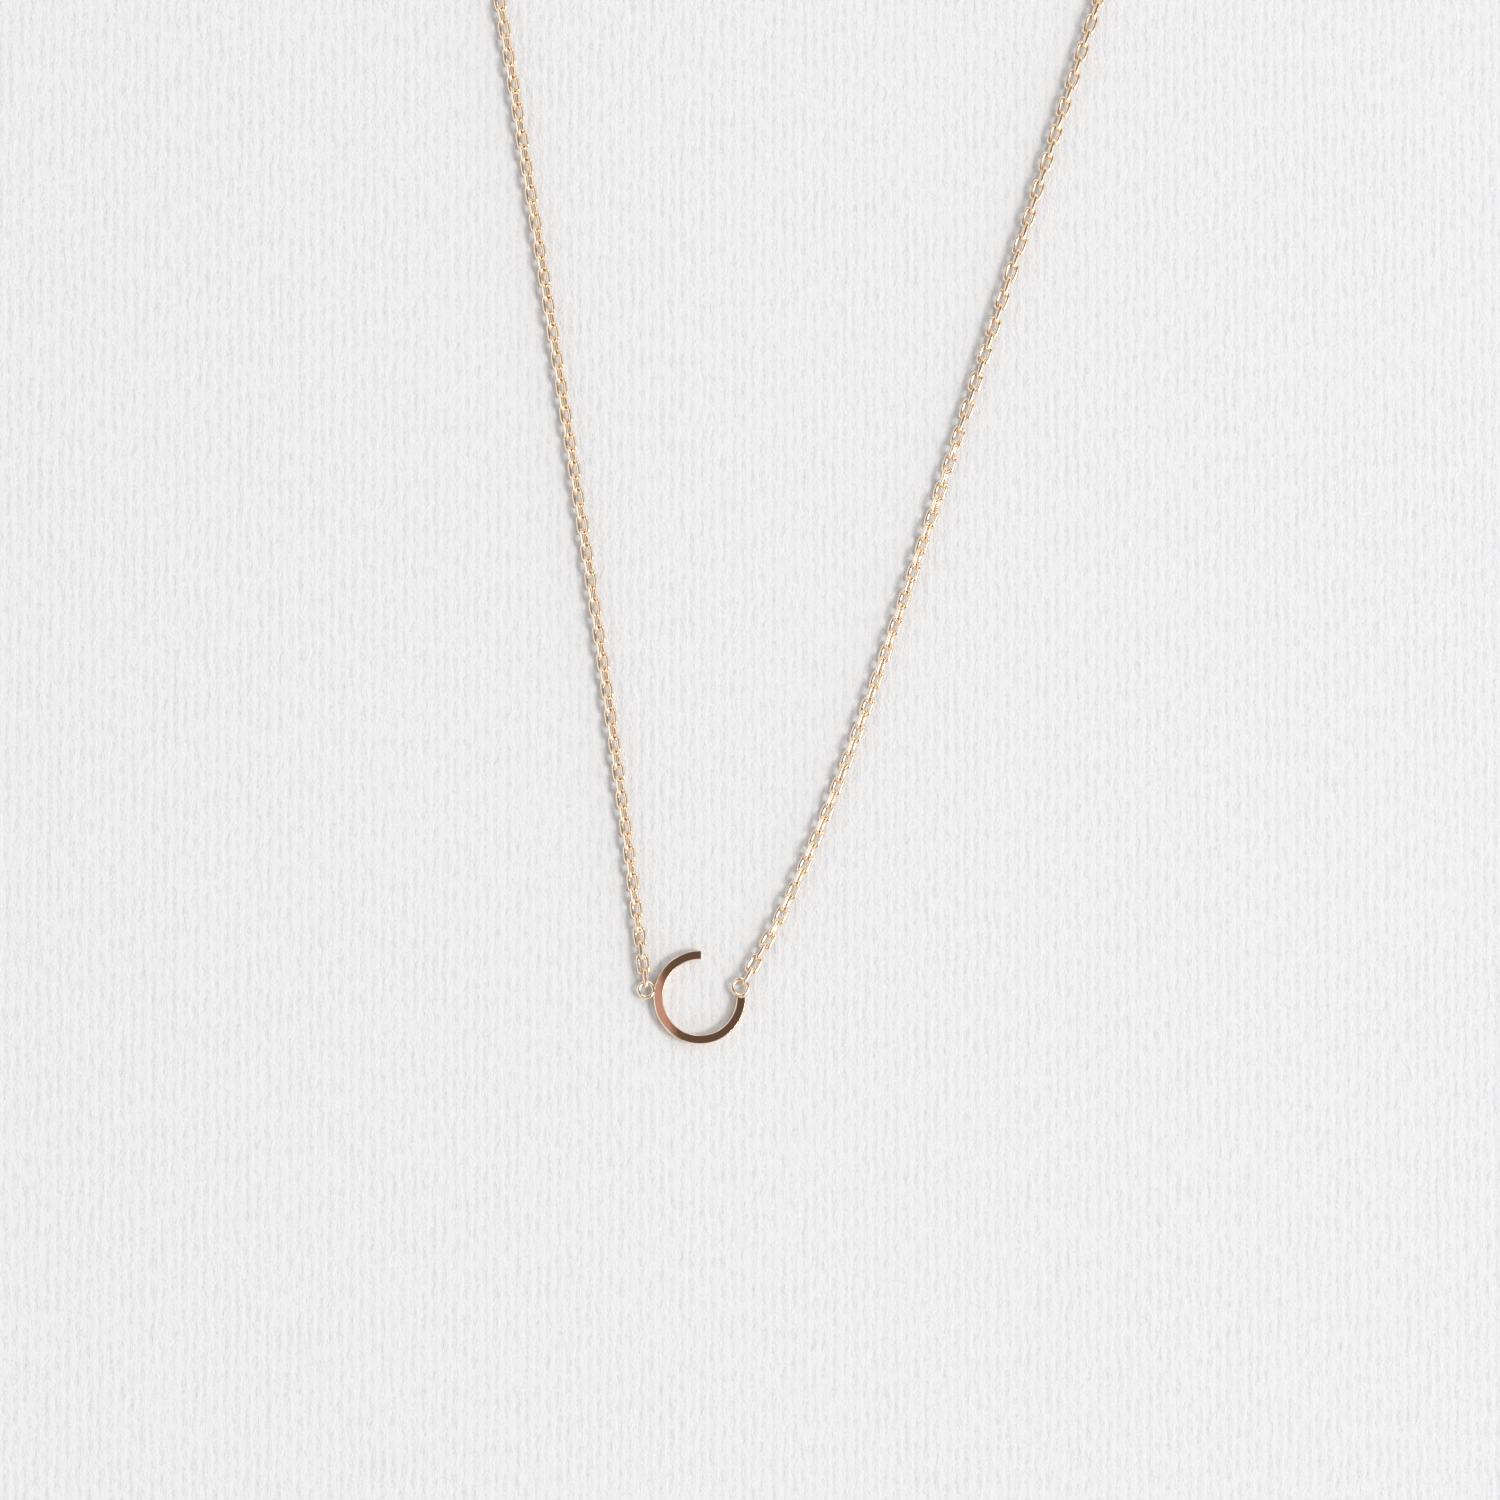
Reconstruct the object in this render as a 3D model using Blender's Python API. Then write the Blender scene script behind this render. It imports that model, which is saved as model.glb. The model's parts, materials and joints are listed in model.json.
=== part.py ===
"""A pendant necklace laid out flat and unfastened: an open ring pendant on two strands of fine cable chain,
with a spring ring clasp on the left strand and an end ring on the right one.

Sizes below are in millimetres and the model is in metres. The necklace lies on the plane z = 0, the strands run
towards +Y, and the origin is on the pendant's flat back, at the bottom of the ring.
"""

import math

import bmesh
import bpy
from mathutils import Matrix, Vector

MM = 0.001

# Pendant: a flat open ring, whose opening faces the upper right.
RING_OUTER_R = 4.68
RING_INNER_R = 3.74
RING_THICKNESS = 1.00
RING_BEVEL = 0.05
RING_FROM_DEG = 88.5
RING_TO_DEG = 360.0
RING_STEPS = 56
RING_CENTRE = Vector((0.0, 0.5 * (RING_OUTER_R + RING_INNER_R), 0.0))

# Loops soldered to the pendant, with their centres measured from the ring's centre.
LOOP_Z = 0.68
LEFT_LOOP_R, LEFT_LOOP_WIRE_R = 0.74, 0.22
RIGHT_LOOP_R, RIGHT_LOOP_WIRE_R = 0.80, 0.22
LEFT_LOOP_AT = (-5.41, 0.74)
RIGHT_LOOP_AT = (4.18, 1.05)
SOLDER_GAP = 0.02

# Chain links: an oval of thick wire with diamond-cut flats. Inside a run each link bites a little into the
# next, and the first link of a run hangs in the last link of the one before it with a small gap.
LINK_HALF_WIDTH = 0.46
LINK_END_HALF_FLAT = 0.20
LINK_CORNER_LENGTH = 0.295
WIRE_R = 0.21
LINK_OVERLAP = 0.06
JUNCTION_GAP = 0.02
LINKS_PER_RUN = 5
RUNS_PER_STRAND = 24
FLOOR_CLEARANCE = 0.01

# Lay of the strands: heading in degrees from +Y towards +X, against the distance along the strand. The pitch
# is the mean distance from link to link, which grows where a strand is pulled straighter.
LAY = {
    "left": {
        "settled_deg": -9.7, "start_deg": 3.0, "settle_mm": 40.0,
        "turn_from_mm": 104.0, "turn_deg_per_mm": 1.27,
        "roll_deg": 38.0, "roll_until_mm": 112.0,
        "near_pitch_mm": 1.375, "far_pitch_mm": 1.40,
    },
    "right": {
        "settled_deg": 18.0, "start_deg": 15.0, "settle_mm": 16.0,
        "turn_from_mm": 107.0, "turn_deg_per_mm": -1.05,
        "roll_deg": 38.0, "roll_until_mm": 50.0,
        "near_pitch_mm": 1.41, "far_pitch_mm": 1.49,
    },
}
ROLL_IN_MM = 7.0
ROLL_OUT_MM = 22.0
FAR_PITCH_FROM_MM = 95.0

# Jump rings, which stand upright between the strands' last links and the clasp or the end ring.
JUMP_R, JUMP_WIRE_R = 0.95, 0.20
JUMP_SLACK = 0.03

# Spring ring clasp. Angles run around the clasp's ring from the side away from the chain.
CLASP_R = 2.10
CLASP_TUBE_R = 0.58
CLASP_BORE_R = 0.40
CLASP_BOLT_R = 0.32
CLASP_MOUTH_HALF_DEG = 34.0
CLASP_BORE_TO_DEG = 174.0
CLASP_SOCKET_DEG = 12.0
BOLT_TIP_DEG = -41.0
BOLT_TAIL_DEG = 72.0
BOLT_TRAVEL_DEG = 60.0
KNOB_DEG = 55.0
KNOB_STEM_R = 0.13
KNOB_BALL_R = 0.34
SLOT_HALF_WIDTH = 0.17
SPRING_COIL_R = 0.28
SPRING_WIRE_R = 0.05
SPRING_TURNS = 11
SPRING_STEPS_PER_TURN = 8
EYE_R, EYE_WIRE_R = 0.60, 0.18
EYE_Z = 0.78

# End ring, which the clasp hooks into.
END_RING_R, END_RING_WIRE_R = 1.50, 0.25
END_RING_Z = 0.95

ROSE_GOLD = (0.90, 0.58, 0.43)
PALE_ROSE_GOLD = (0.93, 0.66, 0.50)
SPRING_STEEL = (0.62, 0.62, 0.64)


def clear_scene():
    for obj in list(bpy.data.objects):
        bpy.data.objects.remove(obj)


def metal(name, colour, roughness):
    material = bpy.data.materials.new(name)
    material.use_nodes = True
    shader = material.node_tree.nodes["Principled BSDF"]
    shader.inputs["Base Color"].default_value = (*colour, 1.0)
    shader.inputs["Metallic"].default_value = 1.0
    shader.inputs["Roughness"].default_value = roughness
    return material


def add_object(name, vertices, faces, material, pivot=Vector()):
    """A mesh object from vertices in millimetres, with its origin on its pivot and its normals facing out."""
    mesh = bpy.data.meshes.new(name)
    mesh.from_pydata([(v - pivot) * MM for v in vertices], [], faces)
    work = bmesh.new()
    work.from_mesh(mesh)
    bmesh.ops.recalc_face_normals(work, faces=work.faces)
    work.to_mesh(mesh)
    work.free()
    mesh.materials.append(material)
    obj = bpy.data.objects.new(name, mesh)
    obj.location = pivot * MM
    bpy.context.collection.objects.link(obj)
    return obj


def shade_smooth(obj, limit_deg):
    """Smooth shading, with edges sharper than the limit kept sharp."""
    work = bmesh.new()
    work.from_mesh(obj.data)
    for face in work.faces:
        face.smooth = True
    for edge in work.edges:
        edge.smooth = edge.calc_face_angle(0.0) < math.radians(limit_deg)
    work.to_mesh(obj.data)
    work.free()


def add_boolean(obj, other, operation):
    """Joins or cuts with another object, which becomes a hidden helper."""
    modifier = obj.modifiers.new(f"{operation.lower()} {other.name}", "BOOLEAN")
    modifier.operation = operation
    modifier.solver = "EXACT"
    modifier.object = other
    other.hide_render = True
    other.display_type = "WIRE"


def sweep(rings, closed):
    """Vertices and faces of a skin through equal rings of points, closed on itself or with flat ends."""
    size = len(rings[0])
    vertices = [point for ring in rings for point in ring]
    faces = []
    spans = len(rings) if closed else len(rings) - 1
    for i in range(spans):
        here, there = i * size, ((i + 1) % len(rings)) * size
        for k in range(size):
            after = (k + 1) % size
            faces.append((here + k, here + after, there + after, there + k))
    if not closed:
        faces.append(tuple(range(size)))
        faces.append(tuple(reversed(range(len(vertices) - size, len(vertices)))))
    return vertices, faces


def wire_ring(centre, normal, radius, wire_r, steps=24, sides=8):
    """A round ring of round wire."""
    frame = normal.to_track_quat("Z", "Y").to_matrix()
    rings = []
    for i in range(steps):
        turn = 2 * math.pi * i / steps
        outward = Vector((math.cos(turn), math.sin(turn), 0.0))
        ring = []
        for k in range(sides):
            angle = 2 * math.pi * (k + 0.5) / sides
            point = outward * (radius + wire_r * math.cos(angle))
            point.z = wire_r * math.sin(angle)
            ring.append(centre + frame @ point)
        rings.append(ring)
    return sweep(rings, closed=True)


def arc_rod(radius, rod_r, from_deg, to_deg, steps, sides=8):
    """A round rod bent around the Z axis, with flat ends."""
    rings = []
    for i in range(steps + 1):
        turn = math.radians(from_deg + (to_deg - from_deg) * i / steps)
        outward = Vector((math.cos(turn), math.sin(turn), 0.0))
        ring = []
        for k in range(sides):
            angle = 2 * math.pi * (k + 0.5) / sides
            point = outward * (radius + rod_r * math.cos(angle))
            point.z = rod_r * math.sin(angle)
            ring.append(point)
        rings.append(ring)
    return sweep(rings, closed=False)


def arc_bar(inner_r, outer_r, low_z, high_z, from_deg, to_deg, steps):
    """A bar of rectangular section bent around the Z axis, with flat ends."""
    rings = []
    for i in range(steps + 1):
        turn = math.radians(from_deg + (to_deg - from_deg) * i / steps)
        outward = Vector((math.cos(turn), math.sin(turn), 0.0))
        corners = ((inner_r, low_z), (outer_r, low_z), (outer_r, high_z), (inner_r, high_z))
        rings.append([outward * r + Vector((0.0, 0.0, z)) for r, z in corners])
    return sweep(rings, closed=False)


def moved(mesh_data, matrix):
    vertices, faces = mesh_data
    return [matrix @ v for v in vertices], faces


# ---------------------------------------------------------------- strands


def heading_deg(side, distance):
    lay = LAY[side]
    settled = lay["settled_deg"] + lay["start_deg"] * math.exp(-distance / lay["settle_mm"])
    return settled + lay["turn_deg_per_mm"] * max(0.0, distance - lay["turn_from_mm"])


def smooth_step(value):
    value = min(max(value, 0.0), 1.0)
    return value * value * (3.0 - 2.0 * value)


def roll_deg(side, distance):
    """How far the links are rolled about the strand: 0 lays every second link flat, 45 leans them all."""
    lay = LAY[side]
    rise = smooth_step(distance / ROLL_IN_MM)
    fall = smooth_step((distance - lay["roll_until_mm"]) / ROLL_OUT_MM)
    return lay["roll_deg"] * rise * (1.0 - fall)


def half_length(side, distance):
    """Half length of a link's centre line that gives the strand its pitch at this distance."""
    lay = LAY[side]
    far = min(distance / FAR_PITCH_FROM_MM, 1.0)
    pitch = lay["near_pitch_mm"] + (lay["far_pitch_mm"] - lay["near_pitch_mm"]) * far
    links = LINKS_PER_RUN
    inner_pitch = pitch - ((links - 1) * LINK_OVERLAP - JUNCTION_GAP) / links
    return 0.5 * inner_pitch + WIRE_R


def resting_height(roll):
    """Height of a strand's centre line where its lower link sides lie on the table."""
    lean = max(abs(math.cos(roll)), abs(math.sin(roll)))
    return FLOOR_CLEARANCE + WIRE_R + LINK_HALF_WIDTH * lean


def loop_centre(side):
    x, y = LEFT_LOOP_AT if side == "left" else RIGHT_LOOP_AT
    return RING_CENTRE + Vector((x, y, LOOP_Z))


def heading_vector(side, distance):
    heading = math.radians(heading_deg(side, distance))
    return Vector((math.sin(heading), math.cos(heading), 0.0))


def strand_links(side):
    """Each link of a strand as a frame: its centre, its half length, and its long axis, width axis and normal."""
    loop_r, wire_r = (
        (LEFT_LOOP_R, LEFT_LOOP_WIRE_R) if side == "left" else (RIGHT_LOOP_R, RIGHT_LOOP_WIRE_R)
    )
    half = half_length(side, 0.0)
    distance = loop_r - wire_r - WIRE_R - JUNCTION_GAP + half
    place = loop_centre(side) + heading_vector(side, 0.0) * distance
    links = []
    for i in range(RUNS_PER_STRAND * LINKS_PER_RUN):
        if i:
            before, bite = half, LINK_OVERLAP
            if i % LINKS_PER_RUN == 0:
                half, bite = half_length(side, distance), -JUNCTION_GAP
            pitch = before + half - 2 * WIRE_R + bite
            place = place + heading_vector(side, distance + 0.5 * pitch) * pitch
            distance += pitch
        roll = math.radians(roll_deg(side, distance))
        place.z = resting_height(roll)
        along = heading_vector(side, distance)
        across = Vector((along.y, -along.x, 0.0))
        angle = roll + (math.pi / 2 if i % 2 else 0.0)
        normal = across * math.cos(angle) + Vector((0.0, 0.0, 1.0)) * math.sin(angle)
        links.append({
            "centre": place.copy(), "half_length": half, "along": along, "normal": normal,
            "width": normal.cross(along),
        })
    return links


def link_mesh(link):
    """One oval link: a square wire set on edge, so that its flats face outwards at 45 degrees."""
    half = link["half_length"]
    corners = []
    for sign_a, sign_w, end_first in ((1, 1, 0), (-1, 1, 1), (-1, -1, 0), (1, -1, 1)):
        end = (sign_a * half, sign_w * LINK_END_HALF_FLAT)
        side = (sign_a * (half - LINK_CORNER_LENGTH), sign_w * LINK_HALF_WIDTH)
        corners += [side, end] if end_first else [end, side]
    rings = []
    for i, corner in enumerate(corners):
        before = Vector(corner) - Vector(corners[i - 1])
        after = Vector(corners[(i + 1) % len(corners)]) - Vector(corner)
        out_before = Vector((before.y, -before.x)).normalized()
        out_after = Vector((after.y, -after.x)).normalized()
        outward = (out_before + out_after).normalized()
        reach = WIRE_R / outward.dot(out_after)
        ring = []
        for shift, lift in ((reach, 0.0), (0.0, WIRE_R), (-reach, 0.0), (0.0, -WIRE_R)):
            a, w = Vector(corner) + outward * shift
            ring.append(link["centre"] + link["along"] * a + link["width"] * w + link["normal"] * lift)
        rings.append(ring)
    return sweep(rings, closed=True)


def merged(parts):
    vertices, faces = [], []
    for part_vertices, part_faces in parts:
        first = len(vertices)
        vertices += part_vertices
        faces += [tuple(first + k for k in face) for face in part_faces]
    return vertices, faces


def link_end(link):
    """The centre of the end wire that holds the next piece."""
    return link["centre"] + link["along"] * link["half_length"]


def add_run(side, number, links, pivot, material):
    """One run of the chain: every second link, joined to the links between them."""
    name = f"{side}_run_{number:02d}"
    obj = add_object(name, *merged([link_mesh(k) for k in links[0::2]]), material, pivot)
    between = add_object(f"{name}_between", *merged([link_mesh(k) for k in links[1::2]]), material, pivot)
    add_boolean(obj, between, "UNION")


def add_strand(side, links, material):
    loop_r = LEFT_LOOP_R if side == "left" else RIGHT_LOOP_R
    pivot = loop_centre(side) + links[0]["along"] * loop_r
    for run in range(RUNS_PER_STRAND):
        first = run * LINKS_PER_RUN
        own = links[first:first + LINKS_PER_RUN]
        add_run(side, run + 1, own, pivot, material)
        pivot = link_end(own[-1])


# ---------------------------------------------------------------- pendant


def add_pendant(gold, loop_gold):
    place = Matrix.Translation(RING_CENTRE)
    bar = arc_bar(RING_INNER_R, RING_OUTER_R, 0.0, RING_THICKNESS, RING_FROM_DEG, RING_TO_DEG, RING_STEPS)
    ring = add_object("pendant_ring", *moved(bar, place), gold)
    bevel = ring.modifiers.new("edge bevel", "BEVEL")
    bevel.width = RING_BEVEL * MM
    bevel.segments = 1
    bevel.limit_method = "ANGLE"
    bevel.angle_limit = math.radians(40.0)
    shade_smooth(ring, 30.0)

    up = Vector((0.0, 0.0, 1.0))
    left = add_object(
        "left_pendant_loop", *wire_ring(loop_centre("left"), up, LEFT_LOOP_R, LEFT_LOOP_WIRE_R), loop_gold
    )
    shade_smooth(left, 50.0)
    cope_r = (RING_OUTER_R + SOLDER_GAP) / math.cos(math.pi / 96)
    bpy.ops.mesh.primitive_cylinder_add(
        vertices=96, radius=cope_r * MM, depth=3.0 * MM, location=RING_CENTRE * MM
    )
    cope = bpy.context.object
    cope.name = "left_loop_cope"
    add_boolean(left, cope, "DIFFERENCE")

    right = add_object(
        "right_pendant_loop", *wire_ring(loop_centre("right"), up, RIGHT_LOOP_R, RIGHT_LOOP_WIRE_R), loop_gold
    )
    shade_smooth(right, 50.0)


# ---------------------------------------------------------------- clasp and end ring


def reach_in_jump_ring(z, wire_r):
    """How far from the middle of a jump ring a wire lies that all but touches it from inside at some height."""
    drop = FLOOR_CLEARANCE + JUMP_R + JUMP_WIRE_R - z
    inside = JUMP_R - JUMP_WIRE_R - wire_r - JUMP_SLACK
    return math.sqrt(inside ** 2 - drop ** 2)


def jump_ring_centre(last_link):
    end = link_end(last_link)
    centre = end + last_link["along"] * reach_in_jump_ring(end.z, WIRE_R)
    centre.z = FLOOR_CLEARANCE + JUMP_R + JUMP_WIRE_R
    return centre


def add_jump_ring(name, last_link, material):
    across = last_link["normal"].cross(last_link["along"])
    centre = jump_ring_centre(last_link)
    ring = add_object(name, *wire_ring(centre, across, JUMP_R, JUMP_WIRE_R), material, link_end(last_link))
    shade_smooth(ring, 50.0)


def hanging_frame(last_link, eye_z, eye_r, eye_wire_r, reach, far_z):
    """Frame at the centre of a ring hooked in a jump ring, tipped down until its far side lies on the table."""
    along = last_link["along"]
    near_wire = reach_in_jump_ring(eye_z, eye_wire_r)
    centre = jump_ring_centre(last_link) + along * (near_wire + eye_r)
    centre.z = eye_z
    drop = math.asin((eye_z - far_z) / reach)
    x_axis = along * math.cos(drop) - Vector((0.0, 0.0, math.sin(drop)))
    y_axis = Vector((-along.y, along.x, 0.0))
    frame = Matrix((x_axis, y_axis, x_axis.cross(y_axis))).transposed().to_4x4()
    return Matrix.Translation(centre) @ frame


def far_wire(last_link):
    """The centre of the jump ring's wire on the side away from the chain."""
    return jump_ring_centre(last_link) + last_link["along"] * JUMP_R


def clasp_frame(last_link):
    """Frame at the centre of the clasp's ring."""
    reach = EYE_R + EYE_WIRE_R + SOLDER_GAP + CLASP_TUBE_R + CLASP_R
    eye = hanging_frame(
        last_link, EYE_Z, EYE_R, EYE_WIRE_R, reach + CLASP_R, CLASP_TUBE_R + FLOOR_CLEARANCE
    )
    return eye, eye @ Matrix.Translation((reach, 0.0, 0.0))


def spring_mesh():
    """A fine helical spring bent around the clasp's ring, between the bolt's tail and the end of the bore."""
    start, stop = BOLT_TAIL_DEG + 3.0, CLASP_BORE_TO_DEG - 3.0
    steps = SPRING_TURNS * SPRING_STEPS_PER_TURN
    rings = []
    for i in range(steps + 1):
        turn = math.radians(start + (stop - start) * i / steps)
        phase = 2 * math.pi * i / SPRING_STEPS_PER_TURN
        outward = Vector((math.cos(turn), math.sin(turn), 0.0))
        onward = Vector((-outward.y, outward.x, 0.0))
        coil = outward * math.cos(phase) + Vector((0.0, 0.0, math.sin(phase)))
        centre = outward * CLASP_R + coil * SPRING_COIL_R
        rings.append([
            centre + coil * SPRING_WIRE_R * a + onward * SPRING_WIRE_R * b
            for a, b in ((1, 0), (0, 1), (-1, 0), (0, -1))
        ])
    return sweep(rings, closed=False)


def knob_mesh():
    """The thumb knob: a stem through the tube's slot with a round ball on its outer end."""
    stem_from = CLASP_R + CLASP_BOLT_R + SOLDER_GAP
    ball_at = CLASP_R + CLASP_TUBE_R + 0.12 + KNOB_BALL_R
    profile = [(stem_from, KNOB_STEM_R), (CLASP_R + CLASP_TUBE_R + 0.14, KNOB_STEM_R)]
    for lean in (130.0, 95.0, 60.0, 28.0):
        angle = math.radians(lean)
        profile.append((ball_at + KNOB_BALL_R * math.cos(angle), KNOB_BALL_R * math.sin(angle)))
    sides = 10
    rings = []
    for x, r in profile:
        ring = []
        for k in range(sides):
            angle = 2 * math.pi * k / sides
            ring.append(Vector((x, r * math.cos(angle), r * math.sin(angle))))
        rings.append(ring)
    return moved(sweep(rings, closed=False), Matrix.Rotation(math.radians(KNOB_DEG), 4, "Z"))


def add_clasp(last_link, gold, steel):
    eye_frame, frame = clasp_frame(last_link)
    hook = far_wire(last_link)
    up = eye_frame.to_3x3() @ Vector((0.0, 0.0, 1.0))
    eye = add_object(
        "clasp_eye", *wire_ring(eye_frame.translation, up, EYE_R, EYE_WIRE_R, steps=20), gold, hook
    )
    shade_smooth(eye, 50.0)

    mouth = CLASP_MOUTH_HALF_DEG
    tube_mesh = arc_rod(CLASP_R, CLASP_TUBE_R, mouth, 360.0 - mouth, 26, sides=10)
    tube = add_object("clasp_tube", *moved(tube_mesh, frame), gold, hook)
    shade_smooth(tube, 50.0)
    bore = arc_rod(CLASP_R, CLASP_BORE_R, mouth - 4.0, CLASP_BORE_TO_DEG, 16)
    socket = arc_rod(CLASP_R, CLASP_BORE_R, 360.0 - mouth - CLASP_SOCKET_DEG, 364.0 - mouth, 3)
    slot = arc_bar(
        CLASP_R, CLASP_R + CLASP_TUBE_R + 0.3, -SLOT_HALF_WIDTH, SLOT_HALF_WIDTH,
        KNOB_DEG - 6.0, KNOB_DEG + BOLT_TRAVEL_DEG + 6.0, 8,
    )
    for name, cutter in (("clasp_bore", bore), ("clasp_socket", socket), ("clasp_slot", slot)):
        add_boolean(tube, add_object(name, *moved(cutter, frame), gold), "DIFFERENCE")

    centre = frame.translation
    rod = arc_rod(CLASP_R, CLASP_BOLT_R, BOLT_TIP_DEG, BOLT_TAIL_DEG, 14)
    bolt = add_object("clasp_bolt", *moved(rod, frame), gold, centre)
    shade_smooth(bolt, 50.0)
    knob = add_object("clasp_thumb_knob", *moved(knob_mesh(), frame), gold, centre)
    shade_smooth(knob, 60.0)
    add_object("clasp_spring", *moved(spring_mesh(), frame), steel, hook)


def add_end_ring(last_link, gold):
    reach = 2 * END_RING_R
    near = hanging_frame(
        last_link, END_RING_Z, 0.0, END_RING_WIRE_R, reach, END_RING_WIRE_R + FLOOR_CLEARANCE
    )
    frame = near @ Matrix.Translation((END_RING_R, 0.0, 0.0))
    up = frame.to_3x3() @ Vector((0.0, 0.0, 1.0))
    ring = add_object(
        "end_ring", *wire_ring(frame.translation, up, END_RING_R, END_RING_WIRE_R, steps=30), gold,
        far_wire(last_link),
    )
    shade_smooth(ring, 50.0)


def build():
    clear_scene()
    pendant_gold = metal("pendant_gold", ROSE_GOLD, 0.08)
    loop_gold = metal("loop_gold", PALE_ROSE_GOLD, 0.14)
    chain_gold = metal("chain_gold", PALE_ROSE_GOLD, 0.16)
    clasp_gold = metal("clasp_gold", PALE_ROSE_GOLD, 0.12)
    steel = metal("spring_steel", SPRING_STEEL, 0.30)

    add_pendant(pendant_gold, loop_gold)
    left, right = strand_links("left"), strand_links("right")
    add_strand("left", left, chain_gold)
    add_strand("right", right, chain_gold)
    add_jump_ring("clasp_jump_ring", left[-1], clasp_gold)
    add_clasp(left[-1], clasp_gold, steel)
    add_jump_ring("end_jump_ring", right[-1], clasp_gold)
    add_end_ring(right[-1], clasp_gold)


build()
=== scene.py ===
"""Looks of the pendant necklace: polished gold, real chain links, a sheet of ribbed paper and soft light.

Sizes are in millimetres unless a name ends in _m. The scene is in metres, in the row frame of the CAD model.
"""

import json
import math
import random

import bmesh
import bpy
import numpy as np
from mathutils import Matrix, Vector


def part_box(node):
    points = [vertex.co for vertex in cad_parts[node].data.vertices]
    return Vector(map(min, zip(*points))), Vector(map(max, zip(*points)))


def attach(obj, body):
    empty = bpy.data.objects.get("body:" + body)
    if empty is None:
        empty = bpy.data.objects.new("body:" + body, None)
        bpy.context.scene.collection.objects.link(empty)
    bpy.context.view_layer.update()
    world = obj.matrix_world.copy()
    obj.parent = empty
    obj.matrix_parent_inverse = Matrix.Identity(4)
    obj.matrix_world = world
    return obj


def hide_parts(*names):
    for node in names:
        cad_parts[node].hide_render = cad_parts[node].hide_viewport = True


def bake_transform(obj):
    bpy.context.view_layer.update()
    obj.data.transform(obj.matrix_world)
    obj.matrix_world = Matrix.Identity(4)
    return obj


MM = 0.001
UP = Vector((0.0, 0.0, 1.0))

# Pendant band, its loops and their solder. A pair of solder radii is at the ring and at the loop.
BAND_WIDTH = 0.94
BAND_FROM_DEG, BAND_TO_DEG = 88.5, 360.0
BAND_STEPS = 260
BAND_BEVEL = 0.09
BEVEL_STEPS = 8
BEVEL_ROUNDNESS = 1.25
EDGE_INSET = 0.012
LEFT_LOOP_R, RIGHT_LOOP_R, LOOP_WIRE_R = 0.74, 0.80, 0.22
LEFT_SOLDER_R, RIGHT_SOLDER_R = (0.36, 0.26), (0.34, 0.26)
SOLDER_SINK, END_SOLDER_SINK = 0.05, 0.06
SOLDER_WAIST = 0.35

# Chain links. The wire is slimmer at a link's ends, which hook its neighbours, than along its sides.
RUNS = 24
LINKS_PER_RUN = 5
HINGE_PAST_MIDWAY = 0.22
LINK_HALF_WIDTH = 0.505
WIRE_HALF_WIDTH, WIRE_HALF_THICKNESS = 0.265, 0.195
END_HALF_WIDTH, END_HALF_THICKNESS = 0.18, 0.175
LINK_SLACK = 0.04
LINK_ROUNDNESS = 2.9
LINK_STEPS, WIRE_SIDES = 44, 16
WIRE_FACET = 1.65
SIDE_FLAT = 0.135
REST_GAP = 0.01
LOWEST_ROLL_DEG = -20.0
ROLL_JITTER_DEG = 3.0

# Jump rings, clasp and end ring.
JUMP_R, JUMP_WIRE_R = 0.95, 0.20
JUMP_SEAM_DEG = 2.0
CLASP_R, TUBE_R, BORE_R, BOLT_R = 2.10, 0.58, 0.40, 0.32
MOUTH_HALF_DEG, BORE_TO_DEG, SOCKET_DEG = 34.0, 174.0, 12.0
BOLT_TIP_DEG, BOLT_TAIL_DEG, BOLT_TRAVEL_DEG = -41.0, 72.0, 60.0
KNOB_DEG, KNOB_STEM_R, KNOB_BALL_R = 55.0, 0.13, 0.34
KNOB_GAP = 0.12
SLOT_HALF_WIDTH, SLOT_OUT, SLOT_SPARE_DEG = 0.17, 0.3, 6.0
SPRING_COIL_R, SPRING_WIRE_R, SPRING_TURNS = 0.28, 0.05, 11
SPRING_END_DEG = 3.0
EYE_R, EYE_WIRE_R = 0.60, 0.18
EYE_SOLDER_R = (0.20, 0.30)
END_RING_R, END_RING_WIRE_R = 1.50, 0.25
CUT_SPARE_DEG = 4.0

# Paper sheet: ribs that wander a little, short dashes across them, and grain. Texture scales are per metre.
SHEET_HALF_M = 4.0
RIB_PITCH = 1.04
RIB_WEIGHT, DASH_WEIGHT, GRAIN_WEIGHT = 0.12, 1.0, 0.9
RIB_WANDER = 5.0
WANDER_SCALE, DASH_SCALE, GRAIN_SCALE = (400.0, 250.0, 1.0), (2000.0, 700.0, 1.0), (4600.0, 3000.0, 1.0)
PAPER_RELIEF = 0.12
# The paper's colour is darker where its relief is low: painted shade in the hollows of the ribs, dashes and grain.
PAPER_HOLLOW_SHADE, PAPER_HIGH = (0.675, 0.69, 0.705), (0.79, 0.79, 0.795)
PAPER_SHADES = (0.60, 0.95)

# Metal: patches of duller polish, hairline scratches along one direction, and slow waves.
PATCH_SCALE, HAIRLINE_SCALE, WAVE_SCALE = 2200.0, (9000.0, 900.0, 9000.0), 1400.0
HAIRLINE_DEPTH, WAVE_DEPTH = 0.0003, 0.0012
DULL_SHARE = 0.93

ROSE_GOLD = (0.96, 0.77, 0.62)
PALE_ROSE_GOLD = (0.97, 0.79, 0.61)
SPRING_STEEL = (0.62, 0.62, 0.64)

# Studio: a bright room with darker things in it, a dim ceiling, and the plain backdrop seen behind the table.
# Heights are those of a direction's unit vector.
ROOM_DARK, ROOM_BRIGHT = 0.25, 1.45
CLUTTER_SCALE, CLUTTER_SPAN = 2.3, (0.35, 0.62)
CEILING_SHARE, CEILING_SPAN = 0.26, (0.55, 0.90)
ROOM_TINT = (1.0, 1.0, 1.01)
BACKDROP = (0.83, 0.83, 0.84)

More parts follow.
